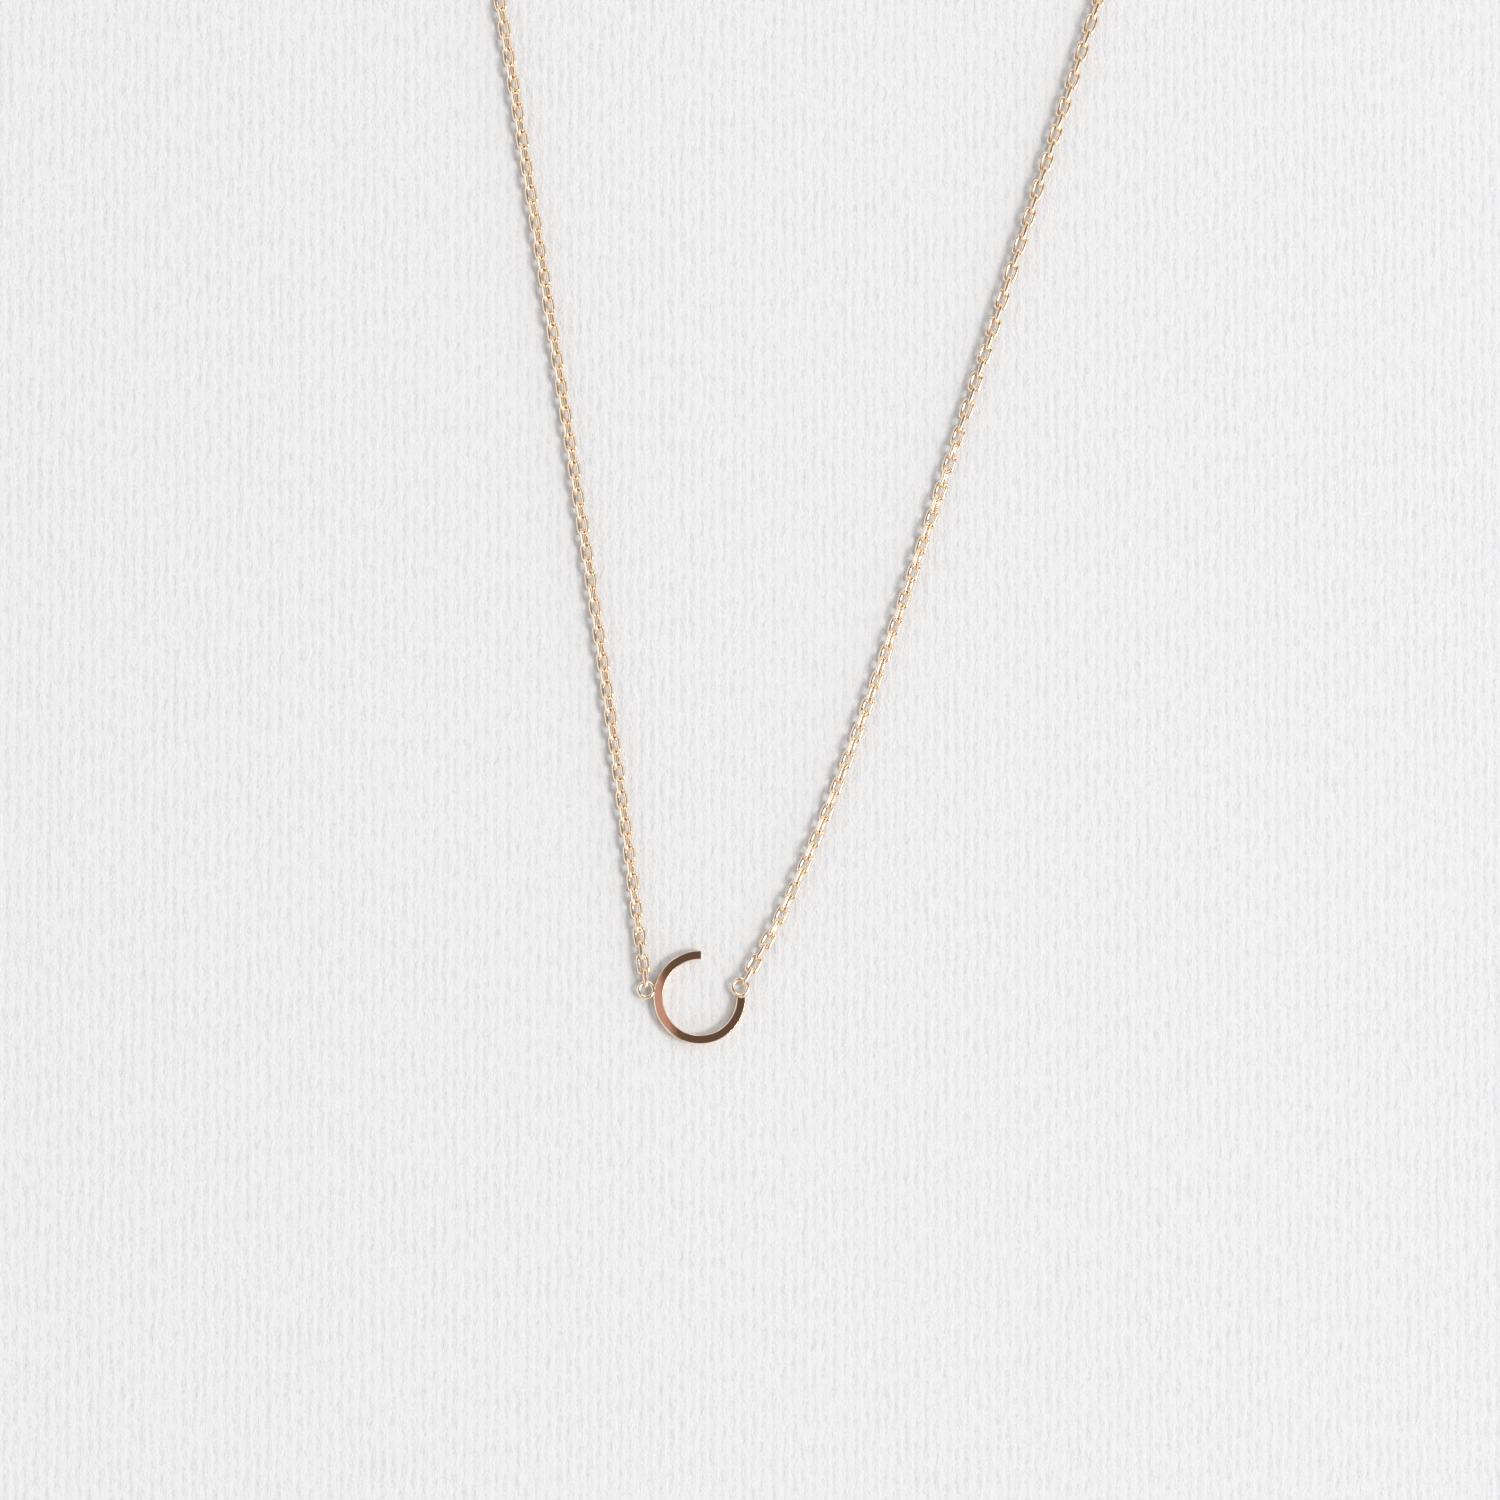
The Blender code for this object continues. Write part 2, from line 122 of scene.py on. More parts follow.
# What the pendant's face mirrors overhead, warm on one side of a straight edge and dark on the other.
# The edge shows on the face through two points. Slopes are sideways distance over height.
FACE_WARM, FACE_DARK = (0.60, 0.375, 0.32), (0.130, 0.090, 0.072)
FACE_Z = 1.0
EDGE_ON_FACE = ((-3.94, 6.385), (-2.76, 0.985))
EDGE_SOFT_SLOPE = 0.0003
OVERHEAD_SHIFT_SLOPE = 0.12
OVERHEAD_RIM_SLOPES = (0.20, 0.30)

# Lamps.
LAMP_DISTANCE_M = 3.2
WINDOW_FROM, WINDOW_SIZE_M, WINDOW_POWER = (0.65, -0.20, 0.90), 1.33, 53.7
WINDOW_COLOUR = (1.0, 0.99, 0.975)
FILL_FROM, FILL_SIZE_M, FILL_POWER = (0.45, 0.50, 0.95), 1.24, 12.6
FILL_COLOUR = (1.0, 1.0, 1.0)

# Camera: above the table, leaning over from the left.
CAMERA_DISTANCE_M = 0.9
CAMERA_LEAN_DEG = 12.0
CAMERA_SIDE_DEG = 195.0
SENSOR_WIDTH = 36.0
VIEW_WIDTH = 150.0
VIEW_CENTRE = (5.3, 29.0)


# ---------------------------------------------------------------- materials


def node(tree, kind, **values):
    made = tree.nodes.new(kind)
    for key, value in values.items():
        setattr(made, key, value)
    return made


def noise(tree, vector, scale, detail=3.0, roughness=0.5):
    made = node(tree, "ShaderNodeTexNoise")
    made.inputs["Scale"].default_value = scale
    made.inputs["Detail"].default_value = detail
    made.inputs["Roughness"].default_value = roughness
    tree.links.new(vector, made.inputs["Vector"])
    return made.outputs["Fac"]


def stretched(tree, vector, scale):
    made = node(tree, "ShaderNodeMapping")
    made.inputs["Scale"].default_value = scale
    tree.links.new(vector, made.inputs["Vector"])
    return made.outputs["Vector"]


def remap(tree, value, low, high, from_low=0.0, from_high=1.0):
    made = node(tree, "ShaderNodeMapRange")
    made.inputs["From Min"].default_value = from_low
    made.inputs["From Max"].default_value = from_high
    made.inputs["To Min"].default_value = low
    made.inputs["To Max"].default_value = high
    tree.links.new(value, made.inputs["Value"])
    return made.outputs["Result"]


def mixed_colour(tree, factor, one, other):
    """A mix of two fixed colours."""
    made = node(tree, "ShaderNodeMix", data_type="RGBA")
    for key, value in (("A", one), ("B", other)):
        socket = next(s for s in made.inputs if s.name == key and s.type == "RGBA")
        socket.default_value = (*value, 1.0)
    tree.links.new(factor, made.inputs["Factor"])
    return next(s for s in made.outputs if s.type == "RGBA")


def blended(tree, factor, one, other):
    """A mix of two colour sockets."""
    made = node(tree, "ShaderNodeMix", data_type="RGBA")
    for key, value in (("A", one), ("B", other)):
        tree.links.new(value, next(s for s in made.inputs if s.name == key and s.type == "RGBA"))
    tree.links.new(factor, made.inputs["Factor"])
    return next(s for s in made.outputs if s.type == "RGBA")


def bumped(tree, height, distance_m, strength=1.0, normal=None):
    made = node(tree, "ShaderNodeBump")
    made.inputs["Strength"].default_value = strength
    made.inputs["Distance"].default_value = distance_m
    tree.links.new(height, made.inputs["Height"])
    if normal is not None:
        tree.links.new(normal, made.inputs["Normal"])
    return made.outputs["Normal"]


def new_material(name):
    material = bpy.data.materials.new(name)
    material.use_nodes = True
    tree = material.node_tree
    shader = tree.nodes["Principled BSDF"]
    where = node(tree, "ShaderNodeTexCoord").outputs["Object"]
    return material, tree, shader, where


def metal(name, colour, roughness, wear=1.0):
    """Polished metal with hairline scratches, slow waves and patches of slightly duller polish."""
    material, tree, shader, where = new_material(name)
    shader.inputs["Metallic"].default_value = 1.0
    patches = noise(tree, where, PATCH_SCALE, 4.0)
    dull = tuple(c * DULL_SHARE for c in colour)
    tree.links.new(mixed_colour(tree, patches, dull, colour), shader.inputs["Base Color"])
    polish = remap(tree, patches, roughness * 0.7, roughness * 1.5, 0.3, 0.7)
    tree.links.new(polish, shader.inputs["Roughness"])
    hairlines = noise(tree, stretched(tree, where, HAIRLINE_SCALE), 1.0, 2.0)
    waves = noise(tree, where, WAVE_SCALE, 1.0)
    soft = bumped(tree, waves, WAVE_DEPTH * MM * wear)
    scratched = bumped(tree, hairlines, HAIRLINE_DEPTH * MM * wear, 1.0, soft)
    tree.links.new(scratched, shader.inputs["Normal"])
    return material


def calculated(tree, operation, one, other=0.0):
    """The result of a maths node on two values, each a socket or a number."""
    made = node(tree, "ShaderNodeMath", operation=operation)
    for socket, value in zip(made.inputs, (one, other)):
        if isinstance(value, (int, float)):
            socket.default_value = value
        else:
            tree.links.new(value, socket)
    return made.outputs["Value"]


def paper():
    """White card with regular vertical ribs, broken into short dashes, and a fine grain; its colour is painted
    darker in their hollows, a painted shade.
    """
    material, tree, shader, where = new_material("ribbed_paper")
    shader.inputs["Roughness"].default_value = 0.85
    shader.inputs["Specular IOR Level"].default_value = 0.25
    split = node(tree, "ShaderNodeSeparateXYZ")
    tree.links.new(where, split.inputs["Vector"])
    wander = noise(tree, stretched(tree, where, WANDER_SCALE), 1.0, 2.0)
    turns = calculated(tree, "MULTIPLY", split.outputs["X"], 2 * math.pi / (RIB_PITCH * MM))
    wandering = calculated(tree, "ADD", turns, calculated(tree, "MULTIPLY", wander, RIB_WANDER))
    ribs = calculated(tree, "SINE", wandering)
    dashes = noise(tree, stretched(tree, where, DASH_SCALE), 1.0, 2.0, 0.6)
    grain = noise(tree, stretched(tree, where, GRAIN_SCALE), 1.0, 2.0, 0.7)
    height = calculated(tree, "MULTIPLY", ribs, RIB_WEIGHT)
    for layer, weight in ((dashes, DASH_WEIGHT), (grain, GRAIN_WEIGHT)):
        height = calculated(tree, "ADD", height, calculated(tree, "MULTIPLY", layer, weight))
    # Painted shade: the same height that bumps the paper darkens its colour in the hollows.
    shade = remap(tree, height, 0.0, 1.0, *PAPER_SHADES)
    tree.links.new(mixed_colour(tree, shade, PAPER_HOLLOW_SHADE, PAPER_HIGH), shader.inputs["Base Color"])
    tree.links.new(bumped(tree, height, PAPER_RELIEF * MM, 1.0), shader.inputs["Normal"])
    return material


# ---------------------------------------------------------------- meshes


def add_mesh(name, mesh_data, material, sharp_deg=180.0):
    """A smooth-shaded piece from vertices in metres, with its edges kept sharp above an angle."""
    vertices, faces = mesh_data
    mesh = bpy.data.meshes.new(name)
    mesh.from_pydata(vertices, [], faces)
    work = bmesh.new()
    work.from_mesh(mesh)
    bmesh.ops.recalc_face_normals(work, faces=work.faces)
    for face in work.faces:
        face.smooth = True
    for edge in work.edges:
        edge.smooth = edge.calc_face_angle(0.0) < math.radians(sharp_deg)
    work.to_mesh(mesh)
    work.free()
    mesh.materials.append(material)
    obj = bpy.data.objects.new(name, mesh)
    bpy.context.scene.collection.objects.link(obj)
    return obj


def sweep(rings, closed):
    """Vertices and faces of a skin through equal rings of points, closed on itself or with flat ends."""
    size = len(rings[0])
    vertices = [point for ring in rings for point in ring]
    faces = []
    spans = len(rings) if closed else len(rings) - 1
    for i in range(spans):
        here, there = i * size, ((i + 1) % len(rings)) * size
        for k in range(size):
            after = (k + 1) % size
            faces.append((here + k, here + after, there + after, there + k))
    if not closed:
        faces.append(tuple(range(size)))
        faces.append(tuple(reversed(range(len(vertices) - size, len(vertices)))))
    return vertices, faces


def merged(parts):
    """Several meshes as one."""
    vertices, faces = [], []
    for part_vertices, part_faces in parts:
        first = len(vertices)
        vertices += part_vertices
        faces += [tuple(first + k for k in face) for face in part_faces]
    return vertices, faces


def moved(mesh_data, matrix):
    vertices, faces = mesh_data
    return [matrix @ v for v in vertices], faces


def rounded_square(turn, half_x, half_y, roundness):
    """A point on a closed curve between a diamond (roundness 1), an ellipse (2) and a rectangle (more)."""
    c, s = math.cos(turn), math.sin(turn)
    if abs(c) < 1e-9 or abs(s) < 1e-9:
        return Vector((half_x * round(c), half_y * round(s)))
    power = 2.0 / roundness
    return Vector((half_x * math.copysign(abs(c) ** power, c), half_y * math.copysign(abs(s) ** power, s)))


def arc(radius, section, from_deg, to_deg, steps, closed=False):
    """A section of (outward, up) points swept around Z, in metres."""
    rings = []
    for i in range(steps if closed else steps + 1):
        turn = math.radians(from_deg + (to_deg - from_deg) * i / steps)
        outward = Vector((math.cos(turn), math.sin(turn), 0.0))
        rings.append([(outward * (radius + a) + UP * b) * MM for a, b in section])
    return sweep(rings, closed)


def circle(radius, sides):
    turns = [2 * math.pi * k / sides for k in range(sides)]
    return [(radius * math.cos(t), radius * math.sin(t)) for t in turns]


def wire_ring(radius, wire_r, steps=64, sides=20):
    return arc(radius, circle(wire_r, sides), 0.0, 360.0, steps, closed=True)


def placed(centre_m, normal, towards=None):
    """A frame at a point, with Z along the normal and X as near to a direction as it can be."""
    z_axis = normal.normalized()
    hint = towards if towards is not None else Vector((1.0, 0.0, 0.0))
    x_axis = (hint - z_axis * hint.dot(z_axis)).normalized()
    frame_3 = Matrix((x_axis, z_axis.cross(x_axis), z_axis)).transposed()
    return Matrix.Translation(centre_m) @ frame_3.to_4x4()


def box_middle(name):
    low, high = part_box(name)
    return (low + high) / 2


def ring_axis(name):
    """The axis of a ring-shaped CAD node, square to the plane its vertices lie in."""
    points = np.array([v.co for v in frame["nodes"][name].data.vertices])
    return Vector(np.linalg.svd(points - points.mean(axis=0))[2][2])


def joint(name):
    return next(j for j in frame["joints"] if j["name"] == name)


def finish_piece(obj, body, cad_node):
    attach(obj, body)
    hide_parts(cad_node)
    return obj


# ---------------------------------------------------------------- chain


def curve_point(points, t):
    """Point and direction on a smooth curve through a strand's pivots, at t pivots from its start."""
    i = min(int(t), len(points) - 2)
    u = t - i
    before = points[i - 1] if i else points[0] * 2 - points[1]
    after = points[i + 2] if i + 2 < len(points) else points[-1] * 2 - points[-2]
    a, b = points[i], points[i + 1]
    leaving, arriving = (b - before) / 2, (after - a) / 2
    place = a * (2 * u**3 - 3 * u**2 + 1) + b * (3 * u**2 - 2 * u**3)
    place += leaving * (u**3 - 2 * u**2 + u) + arriving * (u**3 - u**2)
    slope = a * (6 * u**2 - 6 * u) + b * (6 * u - 6 * u**2)
    slope += leaving * (3 * u**2 - 4 * u + 1) + arriving * (3 * u**2 - 2 * u)
    return place, slope.normalized()


def strand_links(side):
    """Each link of a strand as (centre, along, normal, half length), from the hinges between its runs."""
    names = [f"hinge_{i + 1:02d}_{side}" for i in range(RUNS)]
    pivots = [Vector(joint(n)["pos_m"]) for n in names + [f"jump_ring_hinge_{side}"]]
    flat = [Vector((p.x, p.y, 0.0)) for p in pivots]
    places, rolls, half_lengths = [], [], []
    for run in range(RUNS):
        run_length = (flat[run + 1] - flat[run]).length
        shift = HINGE_PAST_MIDWAY * MM / run_length
        half_lengths.append(run_length / MM / LINKS_PER_RUN / 2 + END_HALF_WIDTH + LINK_SLACK)
        places += [run + (k + 0.5) / LINKS_PER_RUN - shift for k in range(LINKS_PER_RUN)]
        along = curve_point(flat, places[-LINKS_PER_RUN])[1]
        axis = Vector(joint(names[run])["axis"])
        across = Vector((along.y, -along.x, 0.0))
        lean = math.degrees(math.atan2(axis.z, axis.dot(across)))
        rolls.append((lean - LOWEST_ROLL_DEG) % 90.0 + LOWEST_ROLL_DEG)
    roll_at = np.interp(places, places[::LINKS_PER_RUN], rolls)
    links = []
    for i, t in enumerate(places):
        centre, along = curve_point(flat, t)
        roll = math.radians(roll_at[i])
        lean = max(abs(math.cos(roll)), abs(math.sin(roll)))
        centre.z = (REST_GAP + WIRE_HALF_THICKNESS + LINK_HALF_WIDTH * lean) * MM
        jitter = rng.uniform(-ROLL_JITTER_DEG, ROLL_JITTER_DEG)
        turn = roll + math.pi / 2 * (i % 2) + math.radians(jitter)
        across = Vector((along.y, -along.x, 0.0))
        normal = across * math.cos(turn) + UP * math.sin(turn)
        links.append((centre, along, normal, half_lengths[i // LINKS_PER_RUN]))
    return links


def link_mesh(centre, along, normal, half_length):
    """One oval link of wire with rounded diamond-cut flats, slimmer where its ends hook its neighbours."""
    width = normal.cross(along)

    def path(turn):
        return rounded_square(turn, half_length, LINK_HALF_WIDTH, LINK_ROUNDNESS)

    turns = [2 * math.pi * k / WIRE_SIDES for k in range(WIRE_SIDES)]
    section = [rounded_square(t, 1.0, 1.0, WIRE_FACET) for t in turns]
    widest = LINK_HALF_WIDTH + SIDE_FLAT
    rings = []
    for i in range(LINK_STEPS):
        turn = 2 * math.pi * (i + 0.5) / LINK_STEPS
        here = path(turn)
        tangent = (path(turn + 0.02) - path(turn - 0.02)).normalized()
        outward = Vector((tangent.y, -tangent.x))
        sideways = abs(outward.y)
        half_width = END_HALF_WIDTH + (WIRE_HALF_WIDTH - END_HALF_WIDTH) * sideways
        half_depth = END_HALF_THICKNESS + (WIRE_HALF_THICKNESS - END_HALF_THICKNESS) * sideways
        ring = []
        for a, b in section:
            spot = here + outward * a * half_width
            wide = min(max(spot.y, -widest), widest)
            ring.append(centre + (along * spot.x + width * wide + normal * b * half_depth) * MM)
        rings.append(ring)
    return sweep(rings, closed=True)


def add_strand(side, material):
    links = strand_links(side)
    for run in range(RUNS):
        own = links[run * LINKS_PER_RUN:(run + 1) * LINKS_PER_RUN]
        name = f"{side}_run_{run + 1:02d}"
        obj = add_mesh(f"{name}_links", merged([link_mesh(*k) for k in own]), material)
        finish_piece(obj, name, name)


# ---------------------------------------------------------------- pendant


def band_section(thickness):
    """Rectangle of the band with small rounded edges, as (outward from the band's middle, up) points."""
    half, r = BAND_WIDTH / 2, BAND_BEVEL
    edges = []
    corners = ((half, thickness, 0), (-half, thickness, 90), (-half, 0.0, 180), (half, 0.0, 270))
    for x, z, start in corners:
        centre = Vector((x - math.copysign(r, x), z - r if z else r))
        edge = []
        for step in range(BEVEL_STEPS + 1):
            turn = math.radians(start + 90.0 * step / BEVEL_STEPS)
            edge.append(centre + rounded_square(turn, r, r, BEVEL_ROUNDNESS))
        edges.append(edge)
    points = []
    for edge, following in zip(edges, edges[1:] + edges[:1]):
        inset = (following[0] - edge[-1]).normalized() * EDGE_INSET
        points += edge + [edge[-1] + inset, following[0] - inset]
    return points


def collar(start_m, end_m, radii, sides=24):
    """A flared fillet of solder between two points."""
    axis = end_m - start_m
    spin = placed(start_m, axis)
    rings = []
    for t in (0.0, 0.1, 0.25, 0.5, 0.75, 0.9, 1.0):
        waist = 1.0 - SOLDER_WAIST * math.sin(math.pi * t)
        r = (radii[0] + (radii[1] - radii[0]) * t) * waist
        z = UP * axis.length * t
        rings.append([spin @ (Vector((a * MM, b * MM, 0.0)) + z) for a, b in circle(r, sides)])
    return sweep(rings, closed=False)


def add_loop(side, spot, radius, gold):
    wire = moved(wire_ring(radius, LOOP_WIRE_R), Matrix.Translation(spot))
    obj = add_mesh(f"{side}_loop_wire", wire, gold)
    finish_piece(obj, "pendant", f"{side}_pendant_loop")


def add_solder(name, body, mesh_data, material):
    """Solder has no node of its own in the CAD model."""
    solder = add_mesh(name, mesh_data, material)
    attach(solder, body)


def add_pendant(gold, loop_gold):
    low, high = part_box("pendant_ring")
    outer_r = -low.x / MM
    centre = Vector((0.0, low.y + outer_r * MM, 0.0))
    middle_r = outer_r - BAND_WIDTH / 2
    band = arc(middle_r, band_section(high.z / MM), BAND_FROM_DEG, BAND_TO_DEG, BAND_STEPS)
    ring = add_mesh("pendant_band", moved(band, Matrix.Translation(centre)), gold, 60.0)
    finish_piece(ring, "pendant", "pendant_ring")

    left = box_middle("left_pendant_loop")
    left.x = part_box("left_pendant_loop")[0].x + (LEFT_LOOP_R + LOOP_WIRE_R) * MM
    right = box_middle("right_pendant_loop")
    add_loop("left", left, LEFT_LOOP_R, loop_gold)
    add_loop("right", right, RIGHT_LOOP_R, loop_gold)

    to_left = left - centre
    to_left.z = 0.0
    to_left.normalize()
    root = centre + to_left * (outer_r - SOLDER_SINK) * MM
    root.z = left.z
    tip = left - to_left * (LEFT_LOOP_R - 0.02) * MM
    add_solder("left_loop_solder", "pendant", collar(root, tip, LEFT_SOLDER_R), loop_gold)

    root = centre + Vector((middle_r, -END_SOLDER_SINK, 0.0)) * MM
    root.z = right.z
    tip = right - Vector((0.0, RIGHT_LOOP_R - SOLDER_SINK, 0.0)) * MM
    add_solder("right_loop_solder", "pendant", collar(root, tip, RIGHT_SOLDER_R), loop_gold)


# ---------------------------------------------------------------- clasp and end ring


def add_jump_ring(cad_node, gold):
    """A jump ring bent from cut wire, with its butt seam at the bottom."""
    seam = JUMP_SEAM_DEG / 2
    wire = arc(JUMP_R, circle(JUMP_WIRE_R, 20), seam, 360.0 - seam, 72)
    where = placed(box_middle(cad_node), ring_axis(cad_node), -UP)
    obj = add_mesh(f"{cad_node}_wire", moved(wire, where), gold, 60.0)
    finish_piece(obj, cad_node, cad_node)


def cut(obj, cutters):
    """Cuts an object with closed meshes and keeps only the result."""
    for cutter in cutters:
        modifier = obj.modifiers.new(cutter.name, "BOOLEAN")
        modifier.operation = "DIFFERENCE"
        modifier.solver = "EXACT"
        modifier.object = cutter
    bpy.context.view_layer.update()
    shaped = bpy.data.meshes.new_from_object(obj.evaluated_get(bpy.context.evaluated_depsgraph_get()))
    obj.modifiers.clear()
    obj.data = shaped
    for cutter in cutters:
        bpy.data.objects.remove(cutter)


def rounded_rod(radius, rod_r, from_deg, to_deg, steps, sides=20):
    """A rod bent around Z with rounded ends."""
    round_deg = math.degrees(rod_r * 0.7 / radius)
    rounding = [(round_deg * (1 - math.cos(a)), math.sin(a)) for a in (0.15, 0.45, 0.8, 1.2, math.pi / 2)]
    tip = [(from_deg + onward, share) for onward, share in rounding]
    tail = [(to_deg - onward, share) for onward, share in reversed(rounding)]
    middle = [(deg, 1.0) for deg in np.linspace(tip[-1][0], tail[0][0], steps)[1:-1]]
    section = circle(rod_r, sides)
    rings = []
    for deg, share in tip + middle + tail:
        turn = math.radians(deg)
        outward = Vector((math.cos(turn), math.sin(turn), 0.0))
        rings.append([(outward * (radius + a * share) + UP * b * share) * MM for a, b in section])
    return sweep(rings, closed=False)


def clasp_place():
    """The clasp's frame: Z along the bolt's axis, and X away from the eye."""
    hinge = joint("turn_clasp_bolt")
    centre = Vector(hinge["pos_m"])
    return placed(centre, Vector(hinge["axis"]), centre - box_middle("clasp_eye"))


def spring_ends_deg():
    """Where the spring presses on the bolt's tail, and on the closed end of the bore."""
    return BOLT_TAIL_DEG + SPRING_END_DEG, BORE_TO_DEG - SPRING_END_DEG


def spring_mesh(steps_per_turn=20, sides=8):
    start, stop = spring_ends_deg()
    steps = SPRING_TURNS * steps_per_turn
    rings = []
    for i in range(steps + 1):
        turn = math.radians(start + (stop - start) * i / steps)
        phase = 2 * math.pi * i / steps_per_turn
        outward = Vector((math.cos(turn), math.sin(turn), 0.0))
        onward = Vector((-outward.y, outward.x, 0.0))
        coil = outward * math.cos(phase) + UP * math.sin(phase)
        middle = outward * CLASP_R + coil * SPRING_COIL_R
        rings.append([(middle + coil * a + onward * b) * MM for a, b in circle(SPRING_WIRE_R, sides)])
    return sweep(rings, closed=False)


def knob_mesh(sides=28):
    """The thumb knob: a stem through the tube's slot with a round ball on its outer end."""
    stem_from = CLASP_R + BOLT_R - 0.05
    stem_to = CLASP_R + TUBE_R + KNOB_GAP
    ball_at = stem_to + KNOB_BALL_R
    profile = [(stem_from, KNOB_STEM_R), (stem_to, KNOB_STEM_R)]
    for lean_deg in range(150, 0, -12):
        lean = math.radians(lean_deg)
        profile.append((ball_at + KNOB_BALL_R * math.cos(lean), KNOB_BALL_R * math.sin(lean)))
    rings = [[Vector((x, a, b)) * MM for a, b in circle(r, sides)] for x, r in profile]
    return moved(sweep(rings, closed=False), Matrix.Rotation(math.radians(KNOB_DEG), 4, "Z"))


def add_clasp_tube(place, gold):
    """The hollow ring: bored from one side of its mouth, with a socket in the other and a slot outside."""
    closed_end = 360.0 - MOUTH_HALF_DEG
    shell = arc(CLASP_R, circle(TUBE_R, 36), MOUTH_HALF_DEG, closed_end, 110)
    tube = add_mesh("clasp_shell", moved(shell, place), gold, 40.0)
    half, wide = (TUBE_R + SLOT_OUT) / 2, SLOT_HALF_WIDTH
    slot = [(-half, -wide), (half, -wide), (half, wide), (-half, wide)]
    slot_from = KNOB_DEG - SLOT_SPARE_DEG
    slot_to = KNOB_DEG + BOLT_TRAVEL_DEG + SLOT_SPARE_DEG
    bore = circle(BORE_R, 28)
    cutters = [
        ("bore", arc(CLASP_R, bore, MOUTH_HALF_DEG - CUT_SPARE_DEG, BORE_TO_DEG, 60)),
        ("socket", arc(CLASP_R, bore, closed_end - SOCKET_DEG, closed_end + CUT_SPARE_DEG, 8)),
        ("slot", arc(CLASP_R + half, slot, slot_from, slot_to, 40)),
    ]
    cut(tube, [add_mesh(name, moved(mesh, place), gold) for name, mesh in cutters])
    finish_piece(tube, "clasp", "clasp_tube")


def add_clasp_eye(place, gold):
    eye_at = box_middle("clasp_eye")
    eye_place = placed(eye_at, ring_axis("clasp_eye"))
    eye = add_mesh("clasp_eye_wire", moved(wire_ring(EYE_R, EYE_WIRE_R), eye_place), gold)
    finish_piece(eye, "clasp", "clasp_eye")
    towards = (place.translation - eye_at).normalized()
    root = eye_at + towards * (EYE_R - 0.02) * MM
    tip = place.translation - towards * (CLASP_R + TUBE_R - 0.06) * MM
    add_solder("clasp_eye_solder", "clasp", collar(root, tip, EYE_SOLDER_R), gold)


def add_clasp_bolt(place, gold):
    rod = rounded_rod(CLASP_R, BOLT_R, BOLT_TIP_DEG, BOLT_TAIL_DEG, 60)
    bolt = add_mesh("clasp_bolt_rod", moved(rod, place), gold, 60.0)
    finish_piece(bolt, "clasp_bolt", "clasp_bolt")
    knob = add_mesh("clasp_knob", moved(knob_mesh(), place), gold, 50.0)
    finish_piece(knob, "clasp_bolt", "clasp_thumb_knob")


def add_clasp_spring(place, steel):
    """A coiled spring from the bolt's tail at one end to the closed end of the bore at the other, built at the
    bolt's rest; the real spring shortens as the bolt opens.
    """
    spring = add_mesh("clasp_spring_wire", moved(spring_mesh(), place), steel)
    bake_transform(spring)
    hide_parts("clasp_spring")


def add_clasp(gold, steel):
    place = clasp_place()
    add_clasp_tube(place, gold)
    add_clasp_eye(place, gold)
    add_clasp_bolt(place, gold)
    add_clasp_spring(place, steel)


def add_end_ring(gold):
    place = placed(box_middle("end_ring"), ring_axis("end_ring"))
    ring = add_mesh("end_ring_wire", moved(wire_ring(END_RING_R, END_RING_WIRE_R, 90, 24), place), gold)
    finish_piece(ring, "end_ring", "end_ring")


# ---------------------------------------------------------------- table, light and camera


def add_probe(point, body, probes):
    probe = bpy.data.objects.new(f"probe_{len(probes):03d}", None)
    probe.location = point
    bpy.context.scene.collection.objects.link(probe)
    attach(probe, body)
    probes.append(probe)


def all_probes():
    """Empties on the corners of every body's box, which find the necklace's lowest point in any pose."""
    probes = []
    add_probe(Vector(), "pendant", probes)
    for body, names in frame["record"]["behaviour"]["bodies"].items():
        if body == "pendant":
            continue
        lows, highs = zip(*(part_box(n) for n in names))
        low, high = Vector(map(min, *lows, lows[0])), Vector(map(max, *highs, highs[0]))
        for x in (low.x, high.x):
            for y in (low.y, high.y):
                for z in (0.0, high.z):
                    add_probe(Vector((x, y, z)), body, probes)
    return probes


def add_floor(material):
    """The sheet under the necklace. It sinks to stay below every piece when a pose swings the chain down."""
    half = SHEET_HALF_M
    corners = [Vector((x, y, 0.0)) for x, y in ((-half, -half), (half, -half), (half, half), (-half, half))]
    floor = add_mesh("paper_sheet", (corners, [(0, 1, 2, 3)]), material)
    driver = floor.driver_add("location", 2).driver
    driver.type = "MIN"
    for i, probe in enumerate(all_probes()):
        variable = driver.variables.new()
        variable.name = f"z{i}"
        variable.type = "TRANSFORMS"
        variable.targets[0].id = probe
        variable.targets[0].transform_type = "LOC_Z"
        variable.targets[0].transform_space = "WORLD_SPACE"


def add_light(name, direction, size_m, power, colour):
    light = bpy.data.lights.new(name, "AREA")
    light.shape = "DISK"
    light.size = size_m
    light.energy = power
    light.color = colour
    obj = bpy.data.objects.new(name, light)
    obj.location = Vector(direction).normalized() * LAMP_DISTANCE_M
    obj.rotation_mode = "QUATERNION"
    obj.rotation_quaternion = obj.location.to_track_quat("Z", "Y")
    bpy.context.scene.collection.objects.link(obj)


def camera_place():
    """The point looked at, the direction back to the camera, and the camera's place."""
    lean, side = math.radians(CAMERA_LEAN_DEG), math.radians(CAMERA_SIDE_DEG)
    back = Vector((math.sin(lean) * math.cos(side), math.sin(lean) * math.sin(side), math.cos(lean)))
    target = Vector((VIEW_CENTRE[0] * MM, VIEW_CENTRE[1] * MM, 0.0))
    return target, back, target + back * CAMERA_DISTANCE_M


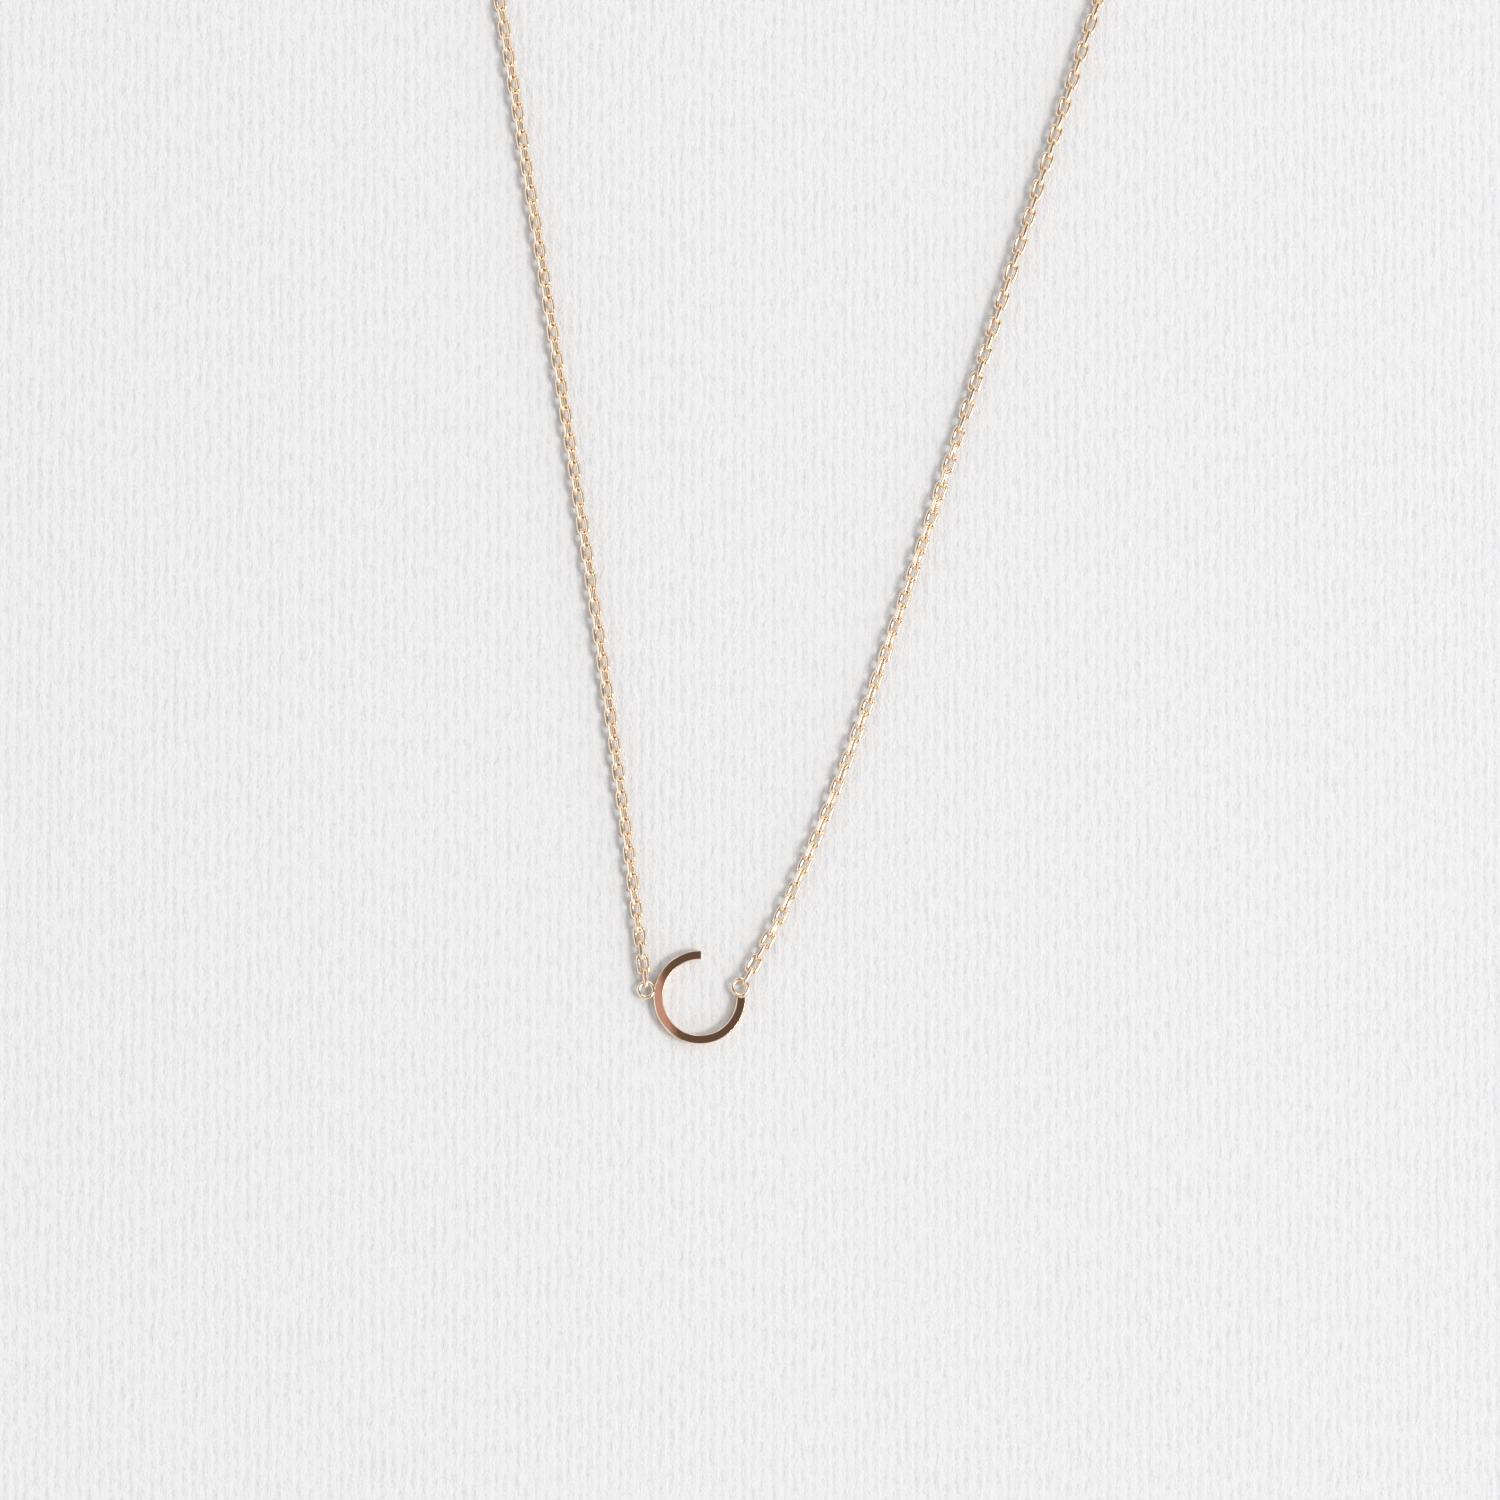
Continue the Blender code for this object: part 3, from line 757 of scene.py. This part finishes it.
def add_camera():
    target, back, place = camera_place()
    data = bpy.data.cameras.new("camera")
    data.sensor_width = SENSOR_WIDTH
    data.lens = data.sensor_width * CAMERA_DISTANCE_M / (VIEW_WIDTH * MM)
    data.clip_start, data.clip_end = 0.01, 50.0
    camera = bpy.data.objects.new("camera", data)
    x_axis = Vector((0.0, 1.0, 0.0)).cross(back).normalized()
    rotation = Matrix((x_axis, back.cross(x_axis), back)).transposed()
    camera.matrix_world = Matrix.Translation(place) @ rotation.to_4x4()
    bpy.context.scene.collection.objects.link(camera)
    bpy.context.scene.camera = camera


def overhead_slopes():
    """The edge overhead as two slopes from straight up, where the face mirrors it to the camera."""
    camera_at = camera_place()[2] / MM
    rise = camera_at.z - FACE_Z
    return [Vector(((x - camera_at.x) / rise, (y - camera_at.y) / rise)) for x, y in EDGE_ON_FACE]


def overhead_colour(tree, across, onward, edge):
    """Warm on one side of the edge and dark on the other."""
    run = edge[1] - edge[0]
    square = Vector((-run.y, run.x)).normalized()
    along_square = calculated(
        tree, "ADD",
        calculated(tree, "MULTIPLY", across, square.x),
        calculated(tree, "MULTIPLY", onward, square.y),
    )
    beside = calculated(tree, "SUBTRACT", along_square, square.dot(edge[0]))
    darker = remap(tree, beside, 0.0, 1.0, -EDGE_SOFT_SLOPE, EDGE_SOFT_SLOPE)
    return mixed_colour(tree, darker, FACE_WARM, FACE_DARK)


def room_colour(tree, where, height):
    """Bright, with soft darker shapes all around and a dimmer ceiling."""
    clutter = remap(tree, noise(tree, where, CLUTTER_SCALE, 2.0), ROOM_DARK, ROOM_BRIGHT, *CLUTTER_SPAN)
    brightness = calculated(tree, "MULTIPLY", clutter, remap(tree, height, 1.0, CEILING_SHARE, *CEILING_SPAN))
    room = node(tree, "ShaderNodeCombineColor")
    for channel, share in zip(("Red", "Green", "Blue"), ROOM_TINT):
        tree.links.new(calculated(tree, "MULTIPLY", brightness, share), room.inputs[channel])
    return room.outputs["Color"]


def add_world():
    """A white studio with something darker overhead, and a plain backdrop behind the table."""
    world = bpy.data.worlds.new("studio")
    bpy.context.scene.world = world
    world.use_nodes = True
    tree = world.node_tree
    where = node(tree, "ShaderNodeTexCoord").outputs["Generated"]
    split = node(tree, "ShaderNodeSeparateXYZ")
    tree.links.new(where, split.inputs["Vector"])
    height = calculated(tree, "MAXIMUM", split.outputs["Z"], 0.001)
    across = calculated(tree, "DIVIDE", split.outputs["X"], height)
    onward = calculated(tree, "DIVIDE", split.outputs["Y"], height)

    edge = overhead_slopes()
    overhead = overhead_colour(tree, across, onward, edge)
    middle = (edge[0] + edge[1]) / 2 + Vector((OVERHEAD_SHIFT_SLOPE, 0.0))
    squares = calculated(
        tree, "ADD",
        calculated(tree, "POWER", calculated(tree, "SUBTRACT", across, middle.x), 2.0),
        calculated(tree, "POWER", calculated(tree, "SUBTRACT", onward, middle.y), 2.0),
    )
    open_sky = remap(tree, calculated(tree, "SQRT", squares), 0.0, 1.0, *OVERHEAD_RIM_SLOPES)
    studio = blended(tree, open_sky, overhead, room_colour(tree, where, split.outputs["Z"]))

    backdrop = node(tree, "ShaderNodeRGB").outputs["Color"]
    backdrop.default_value = (*BACKDROP, 1.0)
    straight = node(tree, "ShaderNodeLightPath").outputs["Is Camera Ray"]
    seen = blended(tree, straight, studio, backdrop)
    tree.links.new(seen, tree.nodes["Background"].inputs["Color"])


with open("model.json") as file:
    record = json.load(file)
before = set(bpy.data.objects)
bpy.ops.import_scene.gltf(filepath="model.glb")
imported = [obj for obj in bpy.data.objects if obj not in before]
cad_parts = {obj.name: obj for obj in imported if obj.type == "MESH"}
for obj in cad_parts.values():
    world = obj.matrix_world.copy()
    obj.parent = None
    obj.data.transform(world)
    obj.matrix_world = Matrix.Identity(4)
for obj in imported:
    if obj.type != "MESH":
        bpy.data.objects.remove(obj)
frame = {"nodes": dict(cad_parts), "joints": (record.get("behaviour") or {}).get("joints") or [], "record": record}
rng = random.Random(7)
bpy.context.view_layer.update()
pendant_gold = metal("pendant_gold", ROSE_GOLD, 0.012, 0.02)
loop_gold = metal("loop_gold", PALE_ROSE_GOLD, 0.12)
chain_gold = metal("chain_gold", PALE_ROSE_GOLD, 0.13, 0.6)
clasp_gold = metal("clasp_gold", PALE_ROSE_GOLD, 0.12)
spring_steel = metal("spring_steel", SPRING_STEEL, 0.3)

add_pendant(pendant_gold, loop_gold)
add_strand("left", chain_gold)
add_strand("right", chain_gold)
add_jump_ring("clasp_jump_ring", clasp_gold)
add_clasp(clasp_gold, spring_steel)
add_jump_ring("end_jump_ring", clasp_gold)
add_end_ring(clasp_gold)

add_floor(paper())
add_world()
add_light("window", WINDOW_FROM, WINDOW_SIZE_M, WINDOW_POWER, WINDOW_COLOUR)
add_light("fill", FILL_FROM, FILL_SIZE_M, FILL_POWER, FILL_COLOUR)
add_camera()
bpy.context.scene.view_settings.view_transform = "Standard"
